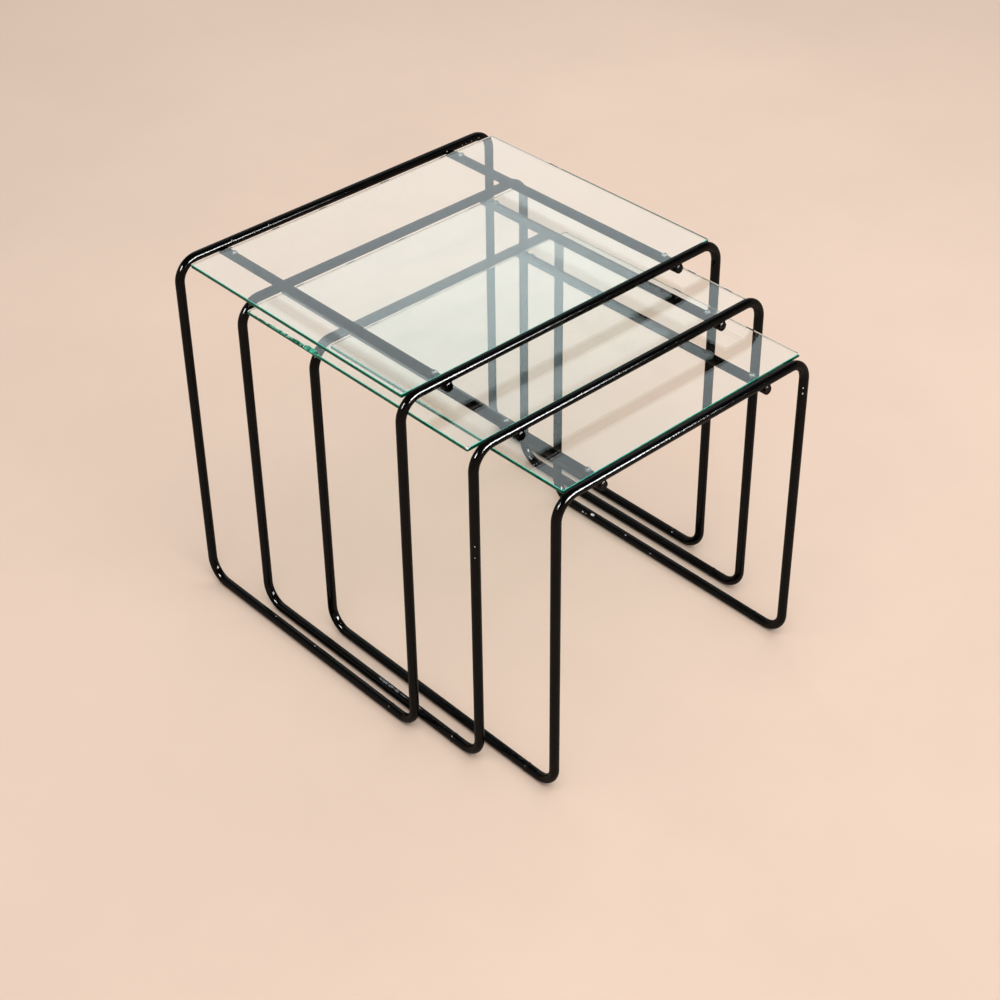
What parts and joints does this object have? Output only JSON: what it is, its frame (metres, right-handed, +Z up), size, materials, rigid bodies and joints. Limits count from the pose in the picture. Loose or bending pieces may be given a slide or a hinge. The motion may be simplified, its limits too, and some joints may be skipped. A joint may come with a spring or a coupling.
{
  "type": "nesting tables",
  "caption": "Nest of low tables: closed loops of bent round rod, with loose glass tops on clear bumpers, each table sliding out from under the next.",
  "frame": {"origin": "on the floor, at the middle of the nest as it stands partly drawn out", "axes": "+Z up; the tables draw out towards -Y; +X to the right of someone who faces +Y"},
  "size_m": [0.523, 0.615, 0.49],
  "materials": {
    "black_enamel": "gloss black enamel, brushed on, worn through in places on the floor rails",
    "weld_enamel": "the same enamel over an uneven weld bead",
    "clear_glass": "clear float glass, green at its edges",
    "clear_bumper": "clear soft plastic"
  },
  "bodies": {
    "large_table": {"large_front_hoop": "black_enamel", "large_back_hoop": "black_enamel", "large_left_cross_rod": "black_enamel", "large_right_cross_rod": "black_enamel", "large_glass_top": "clear_glass", "large_front_left_bumper": "clear_bumper", "large_front_right_bumper": "clear_bumper", "large_back_left_bumper": "clear_bumper", "large_back_right_bumper": "clear_bumper", "large_cross_rod_welds": "weld_enamel", "large_seam_welds": "weld_enamel"},
    "middle_table": {"middle_front_hoop": "black_enamel", "middle_back_hoop": "black_enamel", "middle_left_cross_rod": "black_enamel", "middle_right_cross_rod": "black_enamel", "middle_glass_top": "clear_glass", "middle_front_left_bumper": "clear_bumper", "middle_front_right_bumper": "clear_bumper", "middle_back_left_bumper": "clear_bumper", "middle_back_right_bumper": "clear_bumper", "middle_cross_rod_welds": "weld_enamel", "middle_seam_welds": "weld_enamel"},
    "small_table": {"small_front_hoop": "black_enamel", "small_back_hoop": "black_enamel", "small_left_cross_rod": "black_enamel", "small_right_cross_rod": "black_enamel", "small_glass_top": "clear_glass", "small_front_left_bumper": "clear_bumper", "small_front_right_bumper": "clear_bumper", "small_back_left_bumper": "clear_bumper", "small_back_right_bumper": "clear_bumper", "small_cross_rod_welds": "weld_enamel", "small_seam_welds": "weld_enamel"}
  },
  "joints": [
    {"name": "middle_table_slide", "type": "slide", "parent": "large_table", "child": "middle_table", "axis": [0, -1, 0], "range_m": [-0.094, 0.336]},
    {"name": "small_table_slide", "type": "slide", "parent": "large_table", "child": "small_table", "axis": [0, -1, 0], "range_m": [-0.191, 0.669]}
  ]
}
